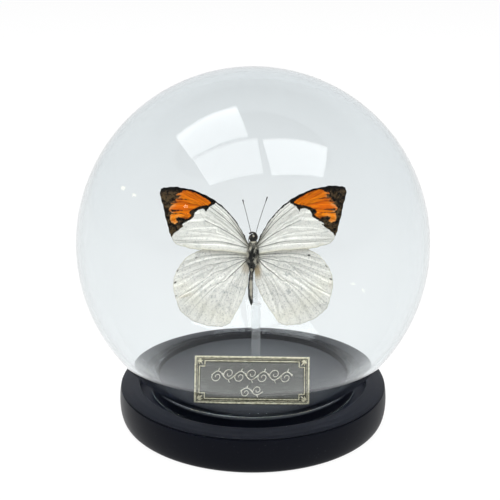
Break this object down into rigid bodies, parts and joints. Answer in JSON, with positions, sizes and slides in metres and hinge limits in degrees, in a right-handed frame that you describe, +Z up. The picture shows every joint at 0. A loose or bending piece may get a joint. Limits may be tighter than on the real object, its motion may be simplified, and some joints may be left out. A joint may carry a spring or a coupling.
{
  "type": "insect in glass dome",
  "caption": "Mounted white butterfly with orange wing tips, glued to a clear rod inside an open-necked glass globe on a round black base, with a leaning plaque",
  "frame": {"origin": "centre of the base's flat underside", "axes": "+Z up through the globe's pole, -Y the front that the butterfly's back and the plaque face, +X to the viewer's right"},
  "size_m": [0.15, 0.15, 0.1532],
  "materials": {
    "black_lacquer": "satin black lacquer over turned wood",
    "clear_glass": "clear polished",
    "clear_acrylic": "clear polished acrylic",
    "smoked_acrylic": "hazy grey translucent acrylic",
    "old_gold": "antique pale gold, polished ridges and dark recesses",
    "worn_silver": "softly polished silver relief",
    "body_fur": "dry brown-black chitin with grey fur",
    "forewing_scales": "matt off-white scales with orange and black tip",
    "hindwing_scales": "matt off-white scales, thin and mottled",
    "horn_black": "matt black-brown"
  },
  "bodies": {
    "root": {"wooden_base": "black_lacquer", "glass_globe": "clear_glass", "display_rod": "clear_acrylic", "plaque_plate": "smoked_acrylic", "plaque_border": "old_gold", "plaque_scroll_long": "worn_silver", "plaque_scroll_short": "worn_silver", "butterfly_body": "body_fur", "forewing_left": "forewing_scales", "forewing_right": "forewing_scales", "hindwing_left": "hindwing_scales", "hindwing_right": "hindwing_scales", "antenna_left": "horn_black", "antenna_right": "horn_black"}
  },
  "joints": []
}
